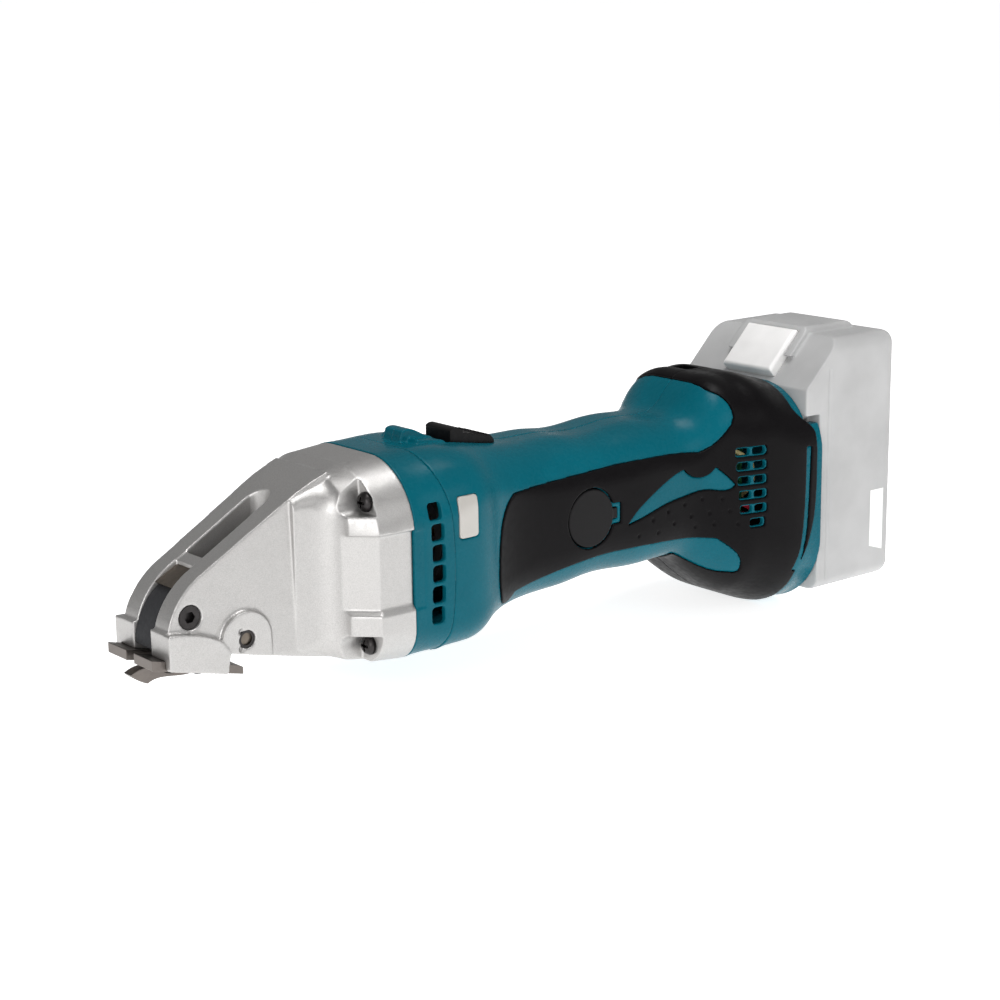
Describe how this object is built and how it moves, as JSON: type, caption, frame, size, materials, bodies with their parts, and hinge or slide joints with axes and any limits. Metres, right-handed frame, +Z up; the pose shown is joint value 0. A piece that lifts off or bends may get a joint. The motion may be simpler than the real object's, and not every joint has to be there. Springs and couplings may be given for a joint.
{
  "type": "cordless straight metal shear",
  "caption": "Cordless metal shear with a cast nose, a rocking centre blade between two fixed blades, a slide switch and a slide-on battery pack.",
  "frame": {"origin": "under the middle of the whole tool, on the plane its lowest point touches", "axes": "+X from the blades to the battery pack along the handle, +Y to the tool's right, +Z up"},
  "size_m": [0.3806, 0.0826, 0.1239],
  "materials": {
    "cast_metal": "fine cast, satin silver paint",
    "teal_plastic": "fine satin texture",
    "black_overmould": "soft satin",
    "black_plastic": "satin",
    "blade_steel": "ground tool steel",
    "forged_steel": "dark heat-treated",
    "black_iron": "rough black casting",
    "black_steel": "black oxide",
    "bright_steel": "ground",
    "plate_metal": "machined",
    "core_steel": "laminated, dull",
    "magnet_grey": "sintered",
    "copper": "enamelled copper",
    "contact_brass": "plain",
    "fan_plastic": "moulded",
    "clear_lens": "frosted lens",
    "board_green": "circuit board",
    "cream_wire": "insulation",
    "red_wire": "insulation",
    "pale_plastic": "fine satin, pale grey",
    "cell_metal": "sleeved cell",
    "white_plastic": "satin white"
  },
  "bodies": {
    "root": {"gear_housing": "cast_metal", "housing_left": "teal_plastic", "housing_right": "teal_plastic", "vent_ring": "teal_plastic", "grip_left": "black_overmould", "grip_right": "black_overmould", "brush_cap_left": "black_plastic", "brush_cap_right": "black_plastic", "terminal_block": "black_plastic", "switch_unit": "black_plastic", "brush_holder_left": "black_plastic", "brush_holder_right": "black_plastic", "side_blade_left": "blade_steel", "side_blade_right": "blade_steel", "chip_slide": "forged_steel", "pivot_pin": "forged_steel", "chip_guide": "black_iron", "nose_bolts": "black_steel", "housing_screws": "black_steel", "pivot_clips": "black_steel", "blade_screws": "black_steel", "shell_screws": "black_steel", "crank_bearings": "bright_steel", "motor_bearings": "bright_steel", "brush_springs": "bright_steel", "bearing_plate": "plate_metal", "motor_yoke": "core_steel", "field_magnets": "magnet_grey", "carbon_brush_left": "magnet_grey", "carbon_brush_right": "magnet_grey", "terminal_contacts": "contact_brass", "lamp_lens_left": "clear_lens", "lamp_lens_right": "clear_lens", "lamp_board_left": "board_green", "lamp_board_right": "board_green", "control_board": "board_green", "lead_wires_cream": "cream_wire", "lead_wires_red": "red_wire"},
    "crank": {"crankshaft": "bright_steel", "crank_gear": "bright_steel", "crank_roller": "bright_steel"},
    "armature": {"armature_shaft": "bright_steel", "armature_core": "core_steel", "armature_coils": "copper", "commutator": "copper", "cooling_fan": "fan_plastic", "pinion": "bright_steel"},
    "rocker": {"blade_lever": "forged_steel", "center_blade": "blade_steel", "center_blade_screws": "black_steel"},
    "switch": {"switch_knob": "black_plastic", "switch_link": "black_plastic"},
    "battery": {"battery_case": "pale_plastic", "battery_deck": "pale_plastic", "battery_cells": "cell_metal", "battery_contacts": "contact_brass", "button_spring": "bright_steel"},
    "button": {"battery_button": "white_plastic"}
  },
  "joints": [
    {"name": "armature_spin", "type": "hinge", "parent": "root", "child": "armature", "pos_m": [-0.01215, 0, 0.0619], "axis": [1, 0, 0], "continuous": true},
    {"name": "crank_spin", "type": "hinge", "parent": "root", "child": "crank", "pos_m": [-0.09615, 0, 0.0479], "axis": [1, 0, 0], "continuous": true},
    {"name": "blade_rock", "type": "hinge", "parent": "root", "child": "rocker", "pos_m": [-0.14965, 0, 0.0399], "axis": [0, 1, 0], "range_deg": [-3.7, 3.7]},
    {"name": "switch_slide", "type": "slide", "parent": "root", "child": "switch", "axis": [-1, 0, 0], "range_m": [0, 0.006]},
    {"name": "battery_slide", "type": "slide", "parent": "root", "child": "battery", "axis": [0, 0, 1], "range_m": [0, 0.12]},
    {"name": "button_press", "type": "slide", "parent": "battery", "child": "button", "axis": [0.7071, 0, -0.7071], "range_m": [0, 0.003], "stiffness_N_per_m": 1500, "springref_m": -0.001, "deforming": ["button_spring"]}
  ],
  "couplings": [
    {"joint": "crank_spin", "follows": "armature_spin", "ratio": -0.21212}
  ]
}
